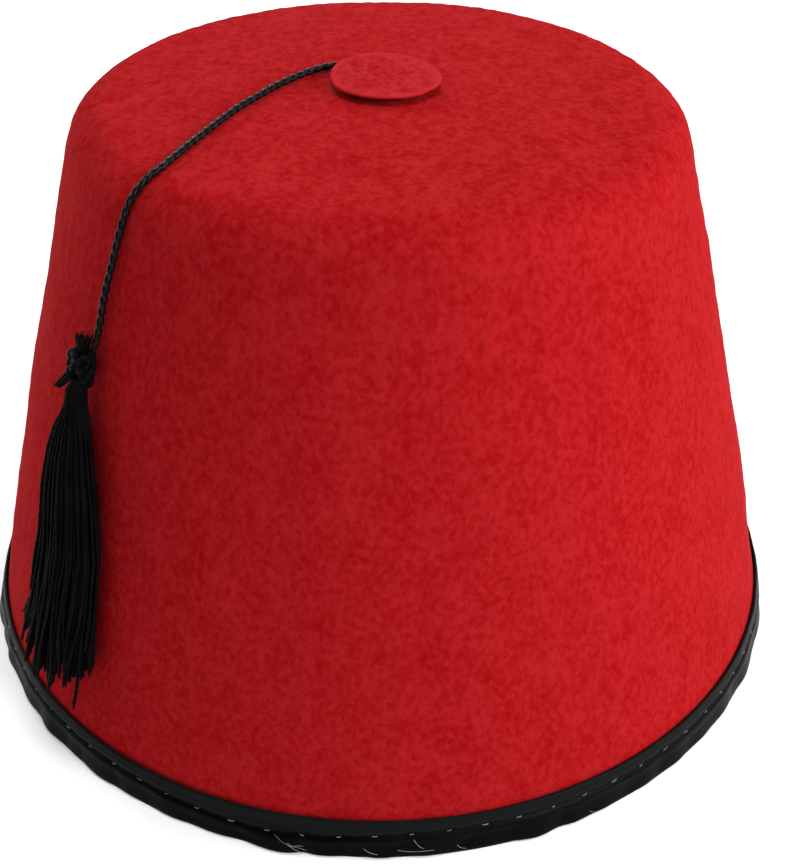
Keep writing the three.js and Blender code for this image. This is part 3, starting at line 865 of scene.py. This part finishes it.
class FEZ_OT_wound_knot(bpy.types.Operator):
    """Adds the knot in the cord's lower end, with its frayed tuft above and tail at the side"""

    bl_idname = "fez.wound_knot"
    bl_label = "Knot"

    leads = 3
    bights = 4
    tail_way = (-0.38, -0.486, -0.784)

    def execute(self, context):
        cord = context.scene.fez_cord
        form = HatForm(context.scene)
        middle, axes = form.knot_frame()
        points, *faces = together(self.core(cord), self.winding(cord), *self.frayed_ends(cord))
        finish = yarn_finish("black_knotted_cord", cord.black, 0.42, 0.035)
        make_piece("wound_knot", (middle + points @ axes, *faces), finish, "black_cord", "cord_knot")
        return {"FINISHED"}

    def winding(self, cord):
        """The cord wound three times round the knot: it goes up on the outside and down on the inside, as a
        torus knot does, squeezed to the knot's width, depth and height."""
        t = np.linspace(0, 2 * np.pi * self.leads, 520)
        wave = self.bights * t / self.leads
        sizes = (1.10 * cord.knot_width, 1.10 * cord.knot_depth, 1.08 * cord.knot_tall)
        half = [(size - cord.diameter) / 2 for size in sizes]
        layer = 1 + 0.09 * (np.cos(wave) - 1)
        rounding = np.sqrt(1 - 0.40 * np.sin(wave) ** 2)
        line = np.stack([
            half[0] * layer * rounding * np.cos(t),
            half[1] * layer * rounding * np.sin(t),
            half[2] * np.sin(wave) - 0.3 * MM,
        ], axis=-1)
        return twisted_cord(line, cord.diameter, cord.lay, line * (1.0, 2.0, 0.6))

    @staticmethod
    def core(cord):
        """A rounded lump that closes the gaps between the turns: an ellipsoid by latitude and longitude."""
        latitude = np.linspace(np.pi / 2, -np.pi / 2, 18)[1:-1]
        half = np.array([cord.knot_width, cord.knot_depth, cord.knot_tall]) / 2 - 0.75 * MM
        return tubes(turned(circle(latitude), all_round(28)) * half)

    def frayed_ends(self, cord):
        """Short strands that spread from the knot: a flared tuft straight up, and a tail out of its side."""
        draw = np.random.default_rng(51)
        shapes = []
        tail_way = unit(np.array(self.tail_way))
        bundles = (
            (np.array([0.0, -0.03, 1.0]), 30, cord.knot_tall / 2 + cord.tuft, 0.75 * MM, 1.5 * MM, 0.16),
            (tail_way, 18, cord.knot_width / 2 + cord.tail, 1.15 * MM, 0.45 * MM, 0.3),
        )
        for way, count, length, start, end, hollow in bundles:
            side = unit(np.cross(way, (0.0, 1.0, 0.0)))
            other = np.cross(way, side)
            spots = seeds(count)
            t = np.linspace(0, 1, 14)
            outer = (spots**2).sum(axis=0)[:, None] if end > start else draw.uniform(0, 1, (count, 1))
            reach = length * (1 - hollow * (1 - outer) - 0.06 * draw.uniform(0, 1, (count, 1))) * t
            bend = draw.normal(0, 0.14, (2, count, 1)) * MM * t**2
            a, b = spots[..., None] * (start + (end - start) * t**1.8) + bend
            line = reach[..., None] * way + a[..., None] * side + b[..., None] * other
            radius = 0.30 * MM * np.ones((count, 1)) * (1 - 0.4 * t**6)
            section = round_section(radius, 7, 2, 0.12, 2 * np.pi * distances(line) / (2.4 * MM))
            shapes.append(tubes(swept(line, section, other)))
        return shapes


class FEZ_OT_tassel_strands(bpy.types.Operator):
    """Adds the tassel: strands of two-ply yarn that part below the neck and end unevenly"""

    bl_idname = "fez.tassel_strands"
    bl_label = "Tassel"

    rows = 84
    columns = 6
    clumps = 21
    # Shares of the tassel's length: where the strands begin, how much shorter they may be, and the longest
    start = -0.03
    clump_shorter = 0.055
    strand_shorter = 0.035
    frayed_left = 0.27
    frayed_right = 0.07
    longest_end = 0.94

    def execute(self, context):
        tassel = context.scene.fez_tassel
        form = HatForm(context.scene)
        line, radius, first_turn = self.strands(tassel, form)
        wind = 2 * np.pi * distances(line) / tassel.yarn_lay + first_turn
        section = round_section(radius, self.columns, 2, 0.16, wind)
        rings = swept(line, section, form.outward(line))
        finish = yarn_finish("black_tassel_yarn", tassel.black, 0.50, 0.016)
        make_piece("tassel_strands", tubes(rings), finish, "black_thread", "tassel")
        return {"FINISHED"}

    def strands(self, tassel, form):
        """Middle line, radius and first turn of every strand. A strand keeps its place in the section, an
        ellipse whose drift, width and depth change on the way down. It sways more the lower it is, and draws
        towards its clump near the end. Each clump has a length of its own, and the strands at the left fan
        out and end at random."""
        draw = np.random.default_rng(tassel.seed)
        count = tassel.strands
        side, deep = seeds(count)
        clump_side, clump_deep = seeds(self.clumps) + draw.normal(0, 0.05, (2, self.clumps))
        away = np.hypot(side[:, None] - clump_side, deep[:, None] - clump_deep)
        clump = np.argmin(away, axis=1)
        shorter = self.clump_shorter * draw.uniform(0, 1, self.clumps) ** 1.4
        end = np.interp(side, TIP_SIDES, TIP_DOWNS) - shorter[clump]
        end = end - self.strand_shorter * draw.uniform(0, 1, count) ** 2
        frayed = self.frayed_left * eased(-side, 0.30, 0.75) + self.frayed_right * eased(side, 0.6, 0.9)
        end = end - frayed * draw.uniform(0, 1, count) ** 0.6
        longest = np.argmin((side - 0.87) ** 2 + (deep - 0.3) ** 2)
        end[longest] = self.longest_end
        down = np.linspace(self.start, 1, self.rows)[None] * end[:, None]
        loose = eased(down, 0.1, 0.9)
        sway = 0.0
        for waves in (1.1, 2.3, 4.1):
            phase = draw.uniform(0, 2 * np.pi, (2, count, 1))
            sway = sway + np.sin(waves * 2 * np.pi * down + phase) / waves
        pull = (0.85 - 0.60 * eased(-side, 0.2, 0.7))[:, None] * eased(down, 0.60, 0.93)
        pull[longest] = 0.0
        swing = (0.05 + 0.04 * eased(-side, 0.2, 0.8))[:, None] * loose
        across = side[:, None] + (clump_side[clump] - side)[:, None] * pull + swing * sway[0]
        wall_side = (eased(side, 0.2, 0.9) * eased(-deep, -0.4, 0.4))[:, None]
        across = across + 0.20 * wall_side * eased(down, 0.6, 0.85)
        depth = deep[:, None] + (clump_deep[clump] - deep)[:, None] * pull + 0.10 * loose * sway[1]
        first_turn = draw.uniform(0, np.pi, (count, 1))
        thin = 0.62 + 0.38 * eased(down, 0.05, 0.3)
        radius = tassel.yarn / 2 * thin * draw.uniform(0.9, 1.1, (count, 1))
        radius = radius * (1 - 0.45 * eased(down, end[:, None] - 0.03, end[:, None]))
        fanned = eased(-side, 0.10, 0.70)[:, None] * draw.uniform(0, 1, (count, 1))
        across = across - 0.42 * fanned * eased(down, 0.62, 0.94)
        closed = 0.35 + 0.65 * eased(down, self.start, 0.012)
        half_width = closed * (np.interp(down, TASSEL_DOWN, TASSEL_WIDTHS) * tassel.width / 2 - radius)
        half_depth = closed * (np.interp(down, TASSEL_DOWN, TASSEL_DEPTHS) * tassel.depth / 2 - radius)
        drift = np.interp(down, TASSEL_DOWN, TASSEL_ACROSS) * tassel.width
        out = TOUCHING + tassel.depth / 2 + np.clip(depth, -1, 1) * half_depth
        height = form.knot_height - form.cord.knot_tall / 2 - TOUCHING - down * tassel.length
        return form.beside_wall(drift + across * half_width, out, height), radius, first_turn


class FEZ_OT_hanging_cord(bpy.types.Operator):
    """Adds the twisted cord from under the disc to the knot, and on inside the knot and the tassel's neck"""

    bl_idname = "fez.hanging_cord"
    bl_label = "Cord"

    # Past the open run, inside the knot and the tassel: across, out and height, in millimetres
    hidden_run = ((1.2, 1.7, 90.3), (0.5, 2.6, 88.2), (0.5, 3.3, 85.6), (1.0, 3.7, 82.5),
                  (1.3, 3.8, 78.5), (1.4, 3.9, 73.5), (1.5, 3.9, 68.5), (1.7, 3.9, 63.5))

    def execute(self, context):
        cord = context.scene.fez_cord
        form = HatForm(context.scene)
        inside = form.beside_wall(*(MM * np.array(self.hidden_run)).T)
        line = smooth_line(np.vstack([CORD_ROUTE, inside]), 0.22 * MM)
        toward = unit(line - np.array([0.0, 0.0, 0.06]))
        finish = yarn_finish("black_twisted_cord", cord.black, 0.32, 0.10)
        shape = twisted_cord(line, cord.diameter, cord.lay, toward)
        piece = make_piece("hanging_cord", shape, finish, "black_cord", "tassel_cord")
        return {"FINISHED"}


class FEZ_PT_sidebar(bpy.types.Panel):
    """Lists the hat's pieces and their sizes"""

    bl_idname = "FEZ_PT_sidebar"
    bl_label = "Fez"
    bl_space_type = "VIEW_3D"
    bl_region_type = "UI"
    bl_category = "Fez"

    def draw(self, context):
        for operator in OPERATORS:
            self.layout.operator(operator.bl_idname)
        for name, group in SETTINGS.items():
            box = self.layout.box()
            box.label(text=group.__doc__)
            for key in group.__annotations__:
                box.prop(getattr(context.scene, name), key)


OPERATORS = (
    FEZ_OT_stage,
    FEZ_OT_wound_knot,
    FEZ_OT_tassel_strands,
    FEZ_OT_hanging_cord,
    FEZ_OT_felt_body,
    FEZ_OT_rim_band,
    FEZ_OT_rim_stitches,
    FEZ_OT_felt_disc,
)
SETTINGS = {
    "fez_felt": FeltSettings,
    "fez_binding": BindingSettings,
    "fez_disc": DiscSettings,
    "fez_cord": CordSettings,
    "fez_tassel": TasselSettings,
    "fez_stage": StageSettings,
}


def register():
    for group in (*SETTINGS.values(), *OPERATORS, FEZ_PT_sidebar):
        bpy.utils.register_class(group)
    for name, group in SETTINGS.items():
        setattr(bpy.types.Scene, name, PointerProperty(type=group))


def unregister():
    for name in SETTINGS:
        delattr(bpy.types.Scene, name)
    for group in (FEZ_PT_sidebar, *reversed(OPERATORS), *SETTINGS.values()):
        bpy.utils.unregister_class(group)


def main():
    """Builds everything in order."""
    register()
    bpy.ops.fez.stage()
    bpy.ops.fez.wound_knot()
    bpy.ops.fez.tassel_strands()
    bpy.ops.fez.hanging_cord()
    bpy.ops.fez.felt_body()
    bpy.ops.fez.rim_band()
    bpy.ops.fez.rim_stitches()
    bpy.ops.fez.felt_disc()
    bpy.context.view_layer.update()


if __name__ == "__main__":
    main()
